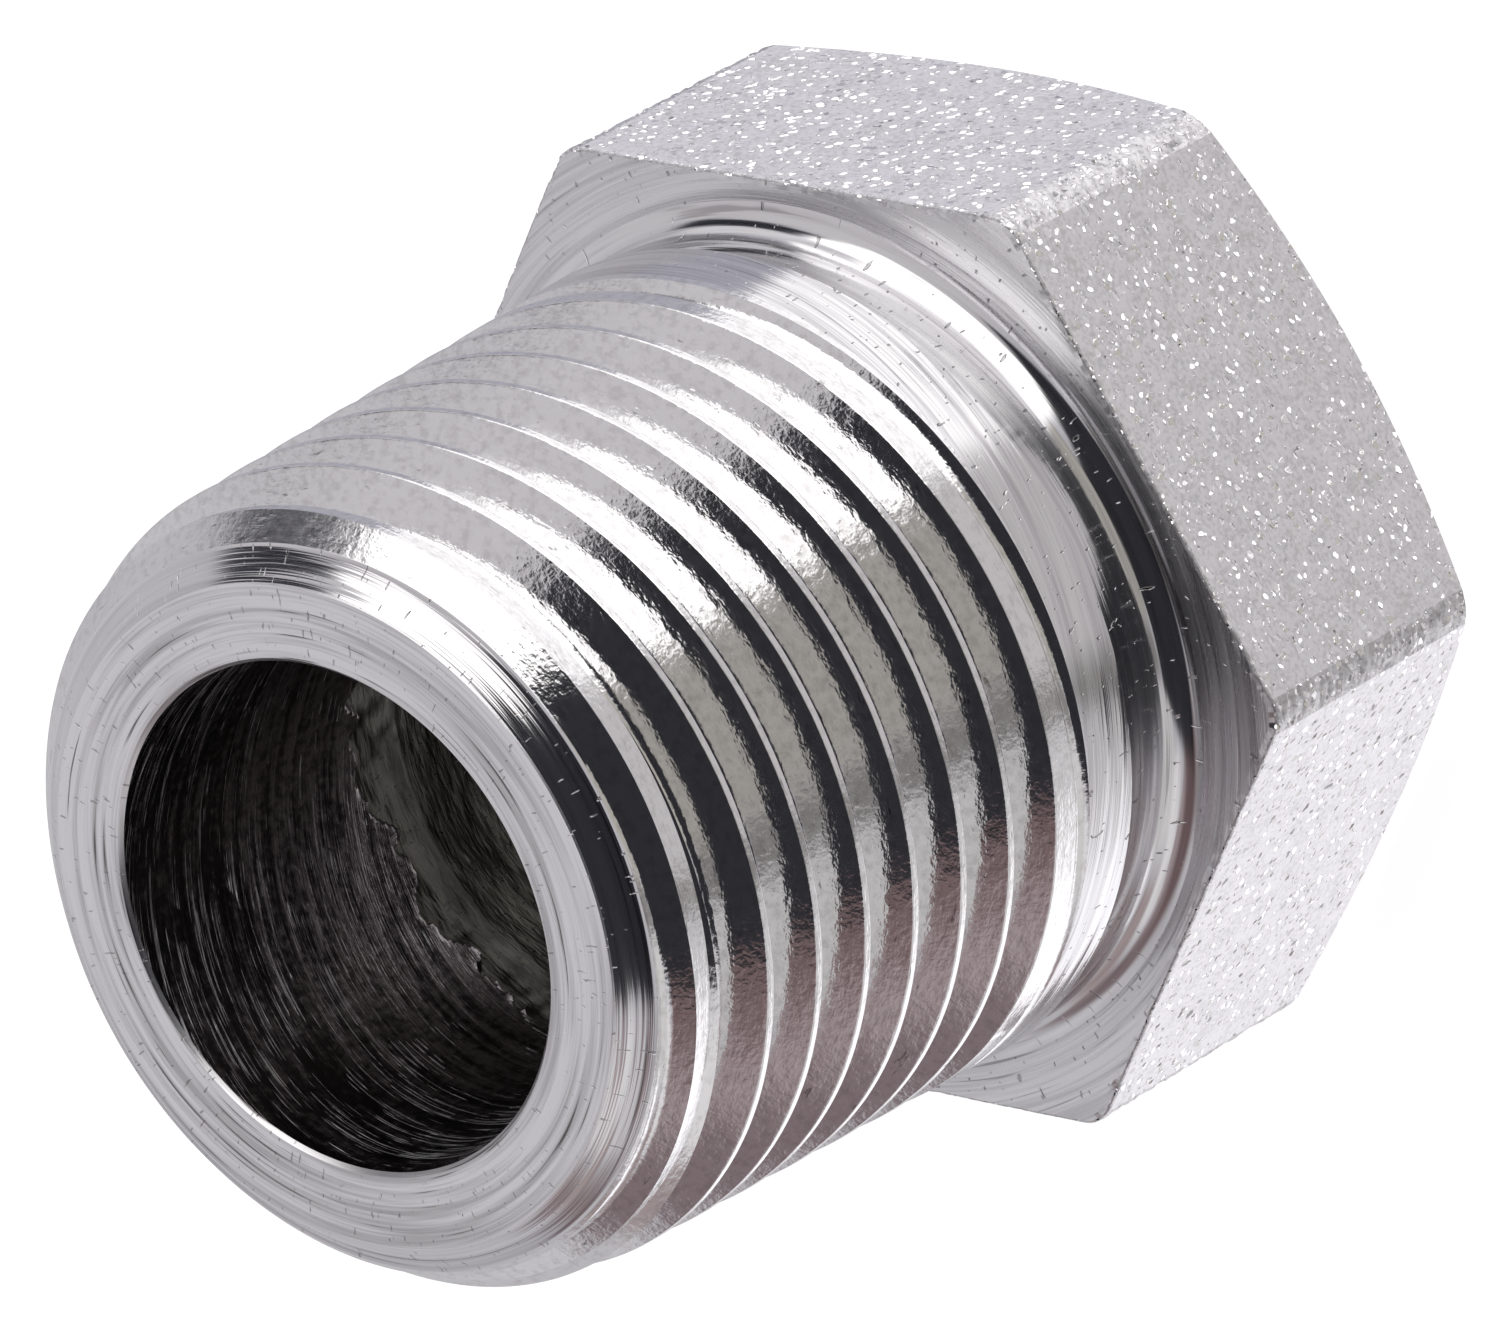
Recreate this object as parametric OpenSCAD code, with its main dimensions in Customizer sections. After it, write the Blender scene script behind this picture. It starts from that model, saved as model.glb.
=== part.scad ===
// Pipe adapter turned from one length of hexagonal steel bar: a hex head with a tapped port
// in its back face, a filleted neck, and a male taper thread with a plain bore through it.
// Millimetres. The part stands on the back face of the hex, with +Z along its axis.

/* [Hex head] */
// Width across the flats of the hex
hex_across_flats = 23.8; // [23:0.1:30]
// Diameter over the rounded corners of the bar
hex_corner_diameter = 27.2; // [26.8:0.1:27.4]
// Height of the hex along the axis
hex_height = 8.9; // [6:0.1:16]
// Width of the chamfer ring at the middle of each flat, on the back face
hex_chamfer_width = 0.6; // [0.1:0.1:1.5]
// Angle of that chamfer from the back face
hex_chamfer_angle = 25; // [15:1:45]

/* [Neck] */
// Diameter of the plain neck above the hex
neck_diameter = 21; // [19:0.1:21.4]
// Length of the neck from the hex to the threaded shank
neck_length = 2.3; // [1.2:0.1:6]
// Radius of the fillet between the hex and the neck
neck_fillet_radius = 0.87; // [0.2:0.01:1]

/* [Taper thread] */
// Diameter over the crests where the thread would reach the end face
thread_end_diameter = 20.65; // [20:0.05:21]
// Growth of that diameter for each millimetre towards the hex
thread_taper = 0.0625; // [0:0.0025:0.08]
// Length of the shank from the neck to the end face
shank_length = 17.2; // [12:0.1:30]
// Number of threads in an inch
threads_per_inch = 14; // [11:0.5:16]
// Angle between the two flanks of the groove
thread_angle = 60; // [55:5:60]
// Depth of the full groove
thread_depth = 1.1; // [0.5:0.05:1.2]
// Width of the flat on a crest
thread_crest_width = 0.2; // [0.1:0.05:0.35]
// Depth that the groove loses in each of its last two half turns, where it runs out
thread_run_out = 0.8; // [0.3:0.05:1.2]
// Least length from the neck to the groove's last half turn
thread_land_length = 1.9; // [1.2:0.1:6]
// How far past the start of the end chamfer the groove crosses the -Y side
thread_exit_height = 0.66; // [0:0.02:1.2]

/* [End face] */
// Diameter of the flat end face
end_face_diameter = 17; // [14.5:0.1:18]
// Length of the chamfer between the end face and the lead
end_chamfer_length = 1.25; // [0.5:0.05:3]
// Diameter of the lead, the short cylinder where the first crest is cut down
lead_diameter = 19.8; // [19:0.1:20.4]
// Length of the lead
lead_length = 0.6; // [0.3:0.1:2]

/* [Bore] */
// Diameter of the plain bore in the threaded end
bore_diameter = 13; // [8:0.1:13.8]
// Width of the broken edge where the bore meets the end face
bore_edge_break = 0.1; // [0.05:0.05:0.3]

/* [Tapped port] */
// Tapping diameter of the port in the hex
port_diameter = 14.7; // [14.2:0.1:16]
// Depth of the port's straight wall from the back face
port_depth = 17.9; // [10:0.1:20]
// Point angle of the drill that opened the port
port_drill_angle = 118; // [90:1:140]
// Diameter of the countersink at the port's mouth
port_mouth_diameter = 17.4; // [16.4:0.1:20]
// Included angle of that countersink
port_mouth_angle = 90; // [60:1:120]

/* [Hidden] */

$fn = 180;
hex_sides = 6;
millimetres_per_inch = 25.4;
// How far cutting shapes pass the surface that they cut, and joined shapes sink into each other
overlap = 0.5;

hex_flat_radius = hex_across_flats / 2;
back_face_radius = hex_flat_radius - hex_chamfer_width;

total_length = hex_height + neck_length + shank_length;
shank_start = hex_height + neck_length;
chamfer_start = total_length - end_chamfer_length;
lead_radius = lead_diameter / 2;
lead_start = chamfer_start - lead_length;
lead_slope_start = lead_start - (crest_radius(lead_start) - lead_radius);

thread_pitch = millimetres_per_inch / threads_per_inch;
half_pitch = thread_pitch / 2;
groove_slope = tan(thread_angle / 2);
groove_mouth_width = thread_pitch - thread_crest_width;
groove_root_width = groove_mouth_width - 2 * thread_depth * groove_slope;
groove_exit_z = chamfer_start + thread_exit_height;
full_turns = floor((groove_exit_z - shank_start - thread_land_length) / thread_pitch);
half_turns = 2 * full_turns + 2;

port_radius = port_diameter / 2;
port_mouth_radius = port_mouth_diameter / 2;
port_mouth_depth = (port_mouth_radius - port_radius) / tan(port_mouth_angle / 2);
port_point_depth = (port_radius - bore_diameter / 2) / tan(port_drill_angle / 2);

// Radius over the thread's crests at height z
function crest_radius(z) = (thread_end_diameter + thread_taper * (total_length - z)) / 2;

// Turned outline that the hex bar is cut to: rounded corners and the chamfered back face
module hex_envelope() {
    corner_radius = hex_corner_diameter / 2;
    chamfer_height = (corner_radius - back_face_radius) * tan(hex_chamfer_angle);
    rotate_extrude()
        polygon([
            [0, 0],
            [back_face_radius, 0],
            [corner_radius, chamfer_height],
            [corner_radius, hex_height],
            [0, hex_height]
        ]);
}

module hex_head() {
    intersection() {
        linear_extrude(hex_height)
            circle(r = hex_flat_radius / cos(180 / hex_sides), $fn = hex_sides);
        hex_envelope();
    }
}

// Half section of the neck with its concave fillet onto the hex
module neck_profile() {
    neck_radius = neck_diameter / 2;
    translate([0, hex_height - overlap])
        square([neck_radius, neck_length + 2 * overlap]);
    difference() {
        translate([neck_radius - overlap, hex_height - overlap])
            square([neck_fillet_radius + overlap, neck_fillet_radius + overlap]);
        translate([neck_radius + neck_fillet_radius, hex_height + neck_fillet_radius])
            circle(r = neck_fillet_radius);
    }
}

// Half section of the tapered shank before threading, with its lead and end chamfer
module shank_profile() {
    polygon([
        [0, shank_start],
        [crest_radius(shank_start), shank_start],
        [crest_radius(lead_slope_start), lead_slope_start],
        [lead_radius, lead_start],
        [lead_radius, chamfer_start],
        [end_face_diameter / 2, total_length],
        [0, total_length]
    ]);
}

// Half turn of the groove about the shank's axis, centred on z = 0, as deep as given at its middle
module half_turn(wall_radius, depth) {
    root_half = groove_root_width / 2;
    mouth_half = root_half + (thread_depth + overlap) * groove_slope;
    root_radius = wall_radius - depth;
    rotate_extrude(angle = 180)
        polygon([
            [root_radius, -root_half],
            [root_radius + thread_depth + overlap, -mouth_half],
            [root_radius + thread_depth + overlap, mouth_half],
            [root_radius, root_half]
        ]);
}

// The helical groove as half turns, tipped by turns so that each ends where the next begins.
// Each is set off centre to follow the taper, and the last two also to run out of the shank.
module thread_groove() {
    for (i = [0 : half_turns - 1]) {
        side = i % 2 == 0 ? -1 : 1;
        z = groove_exit_z + half_pitch / 2 - i * half_pitch;
        run_out_steps = max(0, i - (half_turns - 3));
        fade = run_out_steps > 0 ? thread_run_out : 0;
        wall_radius = crest_radius(z);
        tip = atan(half_pitch / 2 / (wall_radius - thread_depth / 2));
        offset_y = half_pitch / 2 * thread_taper / 2 + fade / 2;
        translate([0, side * offset_y, z])
            rotate([-side * tip, 0, 0])
                rotate(side * 90)
                    half_turn(wall_radius, thread_depth - fade * (run_out_steps - 0.5));
    }
}

module threaded_shank() {
    difference() {
        rotate_extrude() {
            neck_profile();
            shank_profile();
        }
        thread_groove();
    }
}

// Half section of the way through the part: countersunk tapped port, drill point and bore
module passage_profile() {
    bore_radius = bore_diameter / 2;
    mouth_reach = overlap * tan(port_mouth_angle / 2);
    polygon([
        [0, -overlap],
        [port_mouth_radius + mouth_reach, -overlap],
        [port_radius, port_mouth_depth],
        [port_radius, port_depth],
        [bore_radius, port_depth + port_point_depth],
        [bore_radius, total_length - bore_edge_break],
        [bore_radius + bore_edge_break + overlap, total_length + overlap],
        [0, total_length + overlap]
    ]);
}

module adapter_body() {
    color([0.78, 0.78, 0.79])
        difference() {
            union() {
                hex_head();
                threaded_shank();
            }
            rotate_extrude()
                passage_profile();
        }
}

adapter_body();
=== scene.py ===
"""Visual model of a turned, zinc-plated pipe adapter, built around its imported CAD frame.

The lengths in the classes are millimetres in the part's own frame: the hex stands on z = 0
and +Z runs along the axis to the threaded end. The finished mesh is brought to metres.
"""

import logging
import math
from collections.abc import Callable, Sequence
from dataclasses import dataclass, field
from enum import Enum, IntEnum

import bmesh
import bpy
from mathutils import Matrix, Vector, noise


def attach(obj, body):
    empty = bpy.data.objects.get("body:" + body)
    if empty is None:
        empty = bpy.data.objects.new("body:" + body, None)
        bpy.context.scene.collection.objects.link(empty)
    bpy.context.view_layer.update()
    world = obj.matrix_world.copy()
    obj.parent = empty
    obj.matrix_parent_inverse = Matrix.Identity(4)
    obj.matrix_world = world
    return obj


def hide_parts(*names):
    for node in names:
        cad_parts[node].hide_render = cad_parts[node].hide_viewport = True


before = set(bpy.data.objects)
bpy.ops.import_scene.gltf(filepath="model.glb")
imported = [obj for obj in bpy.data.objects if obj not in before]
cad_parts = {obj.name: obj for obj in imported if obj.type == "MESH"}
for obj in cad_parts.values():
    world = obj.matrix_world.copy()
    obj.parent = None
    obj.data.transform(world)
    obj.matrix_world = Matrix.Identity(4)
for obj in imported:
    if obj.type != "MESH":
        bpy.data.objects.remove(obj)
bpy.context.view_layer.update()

log = logging.getLogger("adapter")

MM = 0.001
NODE = "adapter_body"
BODY = "root"
WHITE = (1.0, 1.0, 1.0, 1.0)
INCH = 25.4
# Angle from the middle of a side of the hex to its corner
HALF_SIDE = math.radians(30)
# Vertices closer than these are one: on a solid, and where two turns of a groove meet
MERGE_DISTANCE = 1e-4
SEAM_DISTANCE = 2e-3
# Heights that differ by less are level
NEAR = 1e-3

Colour = tuple[float, float, float]
Point = tuple[float, float]
Solid = bmesh.types.BMesh
Vert = bmesh.types.BMVert
Edge = bmesh.types.BMEdge
Materials = Sequence[bpy.types.Material]


class Surface(IntEnum):
    """The surfaces of the adapter, in the order of its material slots."""

    FLAT = 0
    CORNER = 1
    HEX_FACE = 2
    NECK = 3
    LAND = 4
    THREAD = 5
    CHAMFER = 6
    END_FACE = 7
    BORE = 8
    PORT = 9


class Cut(Enum):
    """How one solid acts on another."""

    JOIN = "UNION"
    REMOVE = "DIFFERENCE"
    KEEP_INSIDE = "INTERSECT"


class Lay(Enum):
    """The direction that a turning tool's marks follow each other in."""

    ACROSS_FACE = "radius"
    ALONG_AXIS = "height"


# Shader sums


class Value:
    """A socket in a node tree, so that shader maths reads as Python expressions."""

    def __init__(self, graph: "Graph", socket: bpy.types.NodeSocket) -> None:
        """Keeps the socket and the graph that it belongs to."""
        self.graph = graph
        self.socket = socket

    def _sum(self, operation: str, first: "Value | float", second: "Value | float") -> "Value":
        """Adds one Math node."""
        return self.graph.node("ShaderNodeMath", {"operation": operation}, {0: first, 1: second})

    def __add__(self, other: "Value | float") -> "Value":
        """self + other"""
        return self._sum("ADD", self, other)

    def __radd__(self, other: float) -> "Value":
        """other + self"""
        return self._sum("ADD", other, self)

    def __sub__(self, other: "Value | float") -> "Value":
        """self - other"""
        return self._sum("SUBTRACT", self, other)

    def __rsub__(self, other: float) -> "Value":
        """other - self"""
        return self._sum("SUBTRACT", other, self)

    def __mul__(self, other: "Value | float") -> "Value":
        """self * other"""
        return self._sum("MULTIPLY", self, other)

    def __rmul__(self, other: float) -> "Value":
        """other * self"""
        return self._sum("MULTIPLY", other, self)

    def __truediv__(self, other: "Value | float") -> "Value":
        """self / other"""
        return self._sum("DIVIDE", self, other)


class Graph:
    """A node tree and the one method that adds nodes to it."""

    def __init__(self, tree: bpy.types.NodeTree) -> None:
        """Empties the tree."""
        self.tree = tree
        tree.nodes.clear()

    def node(
        self,
        kind: str,
        settings: dict | None = None,
        sockets: dict | None = None,
        output: int | str = 0,
    ) -> Value:
        """Adds a node.

        Args:
            kind: The node's type.
            settings: Its properties, which are set before its sockets.
            sockets: Values or links, by the socket's name or number.
            output: The output to hand back.

        Returns:
            That output.
        """
        made = self.tree.nodes.new(kind)
        for key, setting in (settings or {}).items():
            setattr(made, key, setting)
        for key, value in (sockets or {}).items():
            if isinstance(value, Value):
                self.tree.links.new(value.socket, made.inputs[key])
            else:
                made.inputs[key].default_value = value
        return Value(self, made.outputs[output] if made.outputs else None)

    def vector(self, operation: str, *values: object, output: int | str = 0) -> Value:
        """Adds a Vector Math node."""
        sockets = dict(enumerate(values))
        return self.node("ShaderNodeVectorMath", {"operation": operation}, sockets, output)

    def stretch(self, value: Value, factor: float) -> Value:
        """Makes a vector longer or shorter."""
        return self.node("ShaderNodeVectorMath", {"operation": "SCALE"}, {0: value, "Scale": factor})

    def function(self, operation: str, *values: object) -> Value:
        """Adds a Math node that has no Python operator."""
        return self.node("ShaderNodeMath", {"operation": operation}, dict(enumerate(values)))

    def step(self, value: Value, low: float, high: float) -> Value:
        """Goes smoothly from 0 at low to 1 at high.

        Args:
            value: What is measured.
            low: Where the step starts.
            high: Where it ends.

        Returns:
            0 to 1.
        """
        settings = {"interpolation_type": "SMOOTHSTEP"}
        sockets = {"Value": value, "From Min": low, "From Max": high}
        return self.node("ShaderNodeMapRange", settings, sockets)

    def between(self, value: Value, low: float, high: float) -> Value:
        """Stretches 0 to 1 over low to high."""
        return self.node("ShaderNodeMapRange", {}, {"Value": value, "To Min": low, "To Max": high})

    def mix(self, factor: Value, first: object, second: object) -> Value:
        """Mixes two colours, each a Value or a tuple."""
        sockets = {0: factor, 6: self._rgba(first), 7: self._rgba(second)}
        return self.node("ShaderNodeMix", {"data_type": "RGBA"}, sockets, output=2)

    @staticmethod
    def _rgba(colour: object) -> object:
        """Gives a plain colour its fourth number."""
        return colour if isinstance(colour, Value) else (*colour, 1.0)

    def grain(self, place: Value, scale: float, detail: float = 2.0, roughness: float = 0.5) -> Value:
        """Adds a Noise Texture and hands back its grey value."""
        sockets = {"Vector": place, "Scale": scale, "Detail": detail, "Roughness": roughness}
        return self.node("ShaderNodeTexNoise", {}, sockets)

    def facets(self, place: Value, spacing: float, radius: float, lean: Point) -> tuple[Value, Value]:
        """Scatters small flat facets, each leaning its own way about a common lean.

        Args:
            place: The coordinates.
            spacing: Distance between facets.
            radius: The widest facet's radius.
            lean: The common slope along X and Y.

        Returns:
            1 on a facet and 0 off it, and the facets' height.
        """
        bend, smallest, soft_edge, steepest, lift = 0.2, 0.3, 0.2, 0.4, 0.3
        share = radius / spacing
        noise_sockets = {"Vector": place, "Scale": 5.0, "Detail": 1.0}
        wobble = self.node("ShaderNodeTexNoise", {}, noise_sockets, output="Color")
        bent = self.vector("MULTIPLY_ADD", wobble, (bend, bend, bend), place)
        sockets = {"Vector": bent, "Scale": 1.0 / spacing, "Randomness": 1.0}
        near = self.node("ShaderNodeTexVoronoi", {}, sockets, output="Distance")
        outputs = near.socket.node.outputs
        centre, colour = Value(self, outputs["Position"]), Value(self, outputs["Color"])
        chance = self.node("ShaderNodeSeparateXYZ", {}, {0: colour}, output="X")
        size = self.between(chance, share * smallest, share)
        on = self.step(size - near, 0.0, share * soft_edge)
        start = (-steepest - lean[0], -steepest - lean[1], -steepest)
        slope = self.vector("MULTIPLY_ADD", colour, (2 * steepest,) * 3, start)
        rise = self.vector("DOT_PRODUCT", self.vector("SUBTRACT", place, centre), slope, output="Value")
        return on, on * (rise + radius * lift)


@dataclass(frozen=True)
class Place:
    """Where a point lies on the part, in millimetres, for the patterns to follow."""

    graph: Graph
    point: Value
    radius: Value
    height: Value
    around: Value

    @classmethod
    def on(cls, graph: Graph) -> "Place":
        """Reads the object's own coordinates.

        Args:
            graph: The material's graph.

        Returns:
            The point, its radius and height, and its direction around the axis.
        """
        raw = graph.node("ShaderNodeTexCoord", output="Object")
        point = graph.stretch(raw, 1.0 / MM)
        flat = graph.vector("MULTIPLY", point, (1.0, 1.0, 0.0))
        radius = graph.vector("LENGTH", flat, output="Value")
        around = graph.vector("NORMALIZE", flat)
        height = graph.node("ShaderNodeSeparateXYZ", {}, {0: point}, output="Z")
        return cls(graph, point, radius, height, around)

    def marks(
        self,
        lay: Lay,
        spacing: float,
        reach: float,
        slant: float = 0.0,
        detail: float = 2.0,
        roughness: float = 0.6,
    ) -> Value:
        """Draws a grain out into tool marks round the axis.

        Args:
            lay: Which way the marks follow each other.
            spacing: Distance between marks.
            reach: How often the marks change round the axis.
            slant: Climb of the marks for each unit round the axis.
            detail: How many finer layers the grain has.
            roughness: How strong they are.

        Returns:
            The marks' grey value.
        """
        graph = self.graph
        across = self.radius if lay is Lay.ACROSS_FACE else self.height
        if slant:
            side = graph.node("ShaderNodeSeparateXYZ", {}, {0: self.around}, output="X")
            across = across + side * slant
        column = graph.node("ShaderNodeCombineXYZ", {}, {"Z": across * (1.0 / spacing)})
        drawn_out = graph.vector("ADD", graph.stretch(self.around, reach), column)
        return graph.grain(drawn_out, 1.0, detail, roughness)


# Finishes


@dataclass(frozen=True)
class Finish:
    """What every plated finish shares. Heights and spacings are in millimetres."""

    name: str
    tone: Colour = (0.80, 0.795, 0.805)
    shade: Colour = (0.60, 0.59, 0.61)
    pit: Colour = (0.16, 0.15, 0.15)
    roughness: tuple[float, float] = (0.2, 0.35)

    def build(self) -> bpy.types.Material:
        """Makes the material from the finish's own pattern.

        Returns:
            The material.
        """
        material = bpy.data.materials.new(self.name)
        material.use_nodes = True
        graph = Graph(material.node_tree)
        colour, roughness, height = self.pattern(Place.on(graph))
        bump = graph.node("ShaderNodeBump", {}, {"Strength": 1.0, "Distance": MM, "Height": height})
        skin = graph.node(
            "ShaderNodeBsdfPrincipled",
            {},
            {"Base Color": colour, "Roughness": roughness, "Metallic": 1.0, "Normal": bump},
        )
        graph.node("ShaderNodeOutputMaterial", {}, {"Surface": skin})
        return material

    def pattern(self, place: Place) -> tuple[Value, Value, Value]:
        """Draws the finish at a place; each kind has its own."""
        raise NotImplementedError


@dataclass(frozen=True)
class RolledFinish(Finish):
    """The bar's own rolled skin under its plating: dull grit with bright grains standing up."""

    grit: float = 0.007
    spacing: float = 0.26
    radius: float = 0.135
    lean: Point = (0.34, -0.56)
    shine: float = 0.10
    glint: Colour = (1.0, 0.99, 1.0)
    pit_shift: tuple[float, float, float] = (3.1, 7.7, 1.3)
    pit_depth: float = 0.03

    def pattern(self, place: Place) -> tuple[Value, Value, Value]:
        """Draws grit, small pits and sparkling grains.

        Args:
            place: Where the point lies.

        Returns:
            Its colour, roughness and height.
        """
        graph = place.graph
        grit = graph.grain(place.point, 8.0, 2.0, 0.6)
        waves = graph.grain(place.point, 1.5, 2.0, 0.6)
        grains, rise = graph.facets(place.point, self.spacing, self.radius, self.lean)
        shifted = graph.vector("ADD", place.point, self.pit_shift)
        pits = graph.step(graph.grain(shifted, 3.3, 1.0, 0.4), 0.73, 0.78)
        height = grit * self.grit + waves * (self.grit * 3.0) + rise - pits * self.pit_depth
        colour = graph.mix(graph.step(grit * 0.7 + waves * 0.3, 0.34, 0.58), self.shade, self.tone)
        colour = graph.mix(grains, colour, self.glint)
        colour = graph.mix(pits * 0.7, colour, self.pit)
        low, high = self.roughness
        dull = graph.between(grit, low, high)
        return colour, dull + grains * (self.shine - dull), height


@dataclass(frozen=True)
class TurnedFinish(Finish):
    """Fine rings that a turning tool leaves, with dark arcs among them and small nicks."""

    lay: Lay = Lay.ACROSS_FACE
    spacing: float = 0.10
    ring: float = 0.010
    reach: float = 2.0
    slant: float = 0.0
    lines: float = 0.5
    ticks: float = 0.5
    tick_depth: float = 0.02

    def pattern(self, place: Place) -> tuple[Value, Value, Value]:
        """Draws two sizes of ring, dark arcs in them and ticks across them.

        Args:
            place: Where the point lies.

        Returns:
            Its colour, roughness and height.
        """
        graph = place.graph
        rings = place.marks(self.lay, self.spacing, self.reach, self.slant, 2.0, 0.65)
        bands = place.marks(self.lay, self.spacing * 4.0, self.reach * 0.5, self.slant, 1.0, 0.5)
        ticks = graph.step(place.marks(self.lay, 0.30, 90.0, 0.0, 1.0, 0.4), 0.70, 0.76)
        height = rings * self.ring + bands * (self.ring * 3.0) - ticks * self.tick_depth
        colour = graph.mix(graph.step(rings * 0.5 + bands * 0.5, 0.36, 0.60), self.shade, self.tone)
        colour = graph.mix(graph.step(rings, 0.37, 0.28) * self.lines, colour, self.pit)
        colour = graph.mix(ticks * self.ticks, colour, self.pit)
        low, high = self.roughness
        return colour, graph.between(rings, low, high), height


@dataclass(frozen=True)
class ThreadFinish(Finish):
    """Bright plating on the cut thread, duller on one side, with short marks along the groove."""

    peel: float = 0.009
    grit: float = 0.0035
    mark: float = 0.004
    dulling: float = 0.12

    def pattern(self, place: Place) -> tuple[Value, Value, Value]:
        """Draws the peel, the marks, torn spots and the dull side.

        Args:
            place: Where the point lies.

        Returns:
            Its colour, roughness and height.
        """
        graph = place.graph
        side = graph.node("ShaderNodeSeparateXYZ", {}, {0: place.around}, output="X")
        peel = graph.grain(place.point, 3.4, 2.0, 0.6)
        marks = place.marks(Lay.ALONG_AXIS, 0.075, 34.0)
        torn = place.marks(Lay.ALONG_AXIS, 0.16, 9.0, 0.0, 3.0, 0.7)
        grit = graph.grain(place.point, 9.0, 2.0, 0.6)
        height = peel * self.peel + grit * self.grit + marks * self.mark + torn * (self.mark * 2.0)
        colour = graph.mix(graph.step(peel * 0.6 + marks * 0.4, 0.32, 0.56), self.shade, self.tone)
        colour = graph.mix(graph.step(torn, 0.66, 0.74) * 0.7, colour, self.pit)
        low, high = self.roughness
        dull = graph.step(side + torn * 0.2, 0.80, 1.0) * self.dulling
        return colour, graph.between(marks, low, high) + dull, height


@dataclass(frozen=True)
class BoreFinish(Finish):
    """A drilled wall that plating hardly reached: dark, partly by its own dull skin and partly by painted
    shade of the deep bore, with bright spiral scratches.
    """

    scratch: Colour = (0.96, 0.95, 0.97)
    lead: float = 1.6
    mouth: tuple[float, float] = (22.0, 27.0)
    ring_height: float = 0.02
    line_height: float = 0.006
    grit_height: float = 0.01
    scratch_depth: float = 0.04

    def pattern(self, place: Place) -> tuple[Value, Value, Value]:
        """Draws the drill's rings and its spiral scratches over a dark wall, with painted shade darkening
        the wall near the mouth.

        Args:
            place: Where the point lies.

        Returns:
            Its colour, roughness and height.
        """
        graph = place.graph
        rings = place.marks(Lay.ALONG_AXIS, 0.34, 1.2, self.lead, 4.0, 0.7)
        lines = place.marks(Lay.ALONG_AXIS, 0.05, 2.2, self.lead)
        bold = place.marks(Lay.ALONG_AXIS, 0.13, 1.4, self.lead)
        patch = graph.grain(place.point, 0.45, 3.0, 0.6)
        near_mouth = graph.step(place.height, *self.mouth)
        bright = graph.step(lines, 0.61, 0.65) * graph.step(patch + near_mouth * 0.14, 0.54, 0.60)
        bright = graph.function("MAXIMUM", bright, graph.step(bold, 0.63, 0.66) * near_mouth)
        rough = graph.grain(place.point, 4.0, 2.0, 0.6)
        # Drill rings and grain vary the wall's tone at random; the band by the mouth is painted shade that
        # darkens it.
        wall_tone_and_mouth_shade = rings * 0.6 + rough * 0.4 - near_mouth * 0.10
        colour = graph.mix(graph.step(wall_tone_and_mouth_shade, 0.38, 0.58), self.shade, self.tone)
        colour = graph.mix(bright, colour, self.scratch)
        low, high = self.roughness
        height = rings * self.ring_height + lines * self.line_height + rough * self.grit_height
        height = height - bright * self.scratch_depth
        return colour, graph.between(rings, low, high) + bright * 0.1, height


def finishes() -> dict[Surface, Finish]:
    """The finish of each surface.

    Returns:
        One finish for each surface of the adapter.
    """
    return {
        Surface.FLAT: RolledFinish(
            "plated_rolled_flat", tone=(0.82, 0.81, 0.84), shade=(0.66, 0.65, 0.67), roughness=(0.42, 0.56)
        ),
        # The corners and the front edge's bevel take a darker copy of the flats' rolled finish. Its lower
        # tone and shade are painted shade that dims their reflections; its coarser grit and smaller grains
        # are their own.
        Surface.CORNER: RolledFinish(
            "plated_rolled_corner_painted_shade",
            tone=(0.70, 0.69, 0.71),
            shade=(0.46, 0.45, 0.47),
            roughness=(0.40, 0.55),
            grit=0.014,
            spacing=0.18,
            radius=0.10,
        ),
        Surface.HEX_FACE: TurnedFinish("plated_hex_face", roughness=(0.20, 0.36), spacing=0.12, ring=0.014),
        Surface.NECK: TurnedFinish(
            "plated_neck", roughness=(0.07, 0.14), lay=Lay.ALONG_AXIS, ring=0.003, lines=0.4
        ),
        Surface.LAND: TurnedFinish(
            "plated_land", roughness=(0.08, 0.18), lay=Lay.ALONG_AXIS, slant=1.2, lines=0.4
        ),
        Surface.THREAD: ThreadFinish(
            "plated_thread", tone=(0.84, 0.835, 0.845), shade=(0.70, 0.69, 0.695), roughness=(0.06, 0.13)
        ),
        Surface.CHAMFER: TurnedFinish(
            "plated_chamfer",
            roughness=(0.08, 0.18),
            lay=Lay.ALONG_AXIS,
            ring=0.026,
            reach=0.8,
            lines=0.8,
        ),
        Surface.END_FACE: TurnedFinish(
            "plated_end_face",
            tone=(0.86, 0.85, 0.87),
            shade=(0.52, 0.51, 0.52),
            roughness=(0.24, 0.40),
            ring=0.020,
            reach=1.6,
            lines=1.0,
        ),
        # The bore's dark tone and shade are partly the wall's own dull skin and partly painted shade of the
        # deep bore.
        Surface.BORE: BoreFinish(
            "dark_bore", tone=(0.52, 0.47, 0.49), shade=(0.10, 0.09, 0.095), roughness=(0.16, 0.34)
        ),
        # The port's very dark tone and shade are painted shade deep inside the passage.
        Surface.PORT: TurnedFinish(
            "dark_port_painted_shade",
            tone=(0.11, 0.105, 0.09),
            shade=(0.03, 0.03, 0.025),
            roughness=(0.30, 0.5),
            lay=Lay.ALONG_AXIS,
            spacing=0.22,
            ring=0.04,
            reach=9.0,
        ),
    }


# Shaping


@dataclass(frozen=True)
class Stretch:
    """A run of a turned outline with one surface, as (radius, height) points."""

    surface: Surface
    points: tuple[Point, ...]


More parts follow.
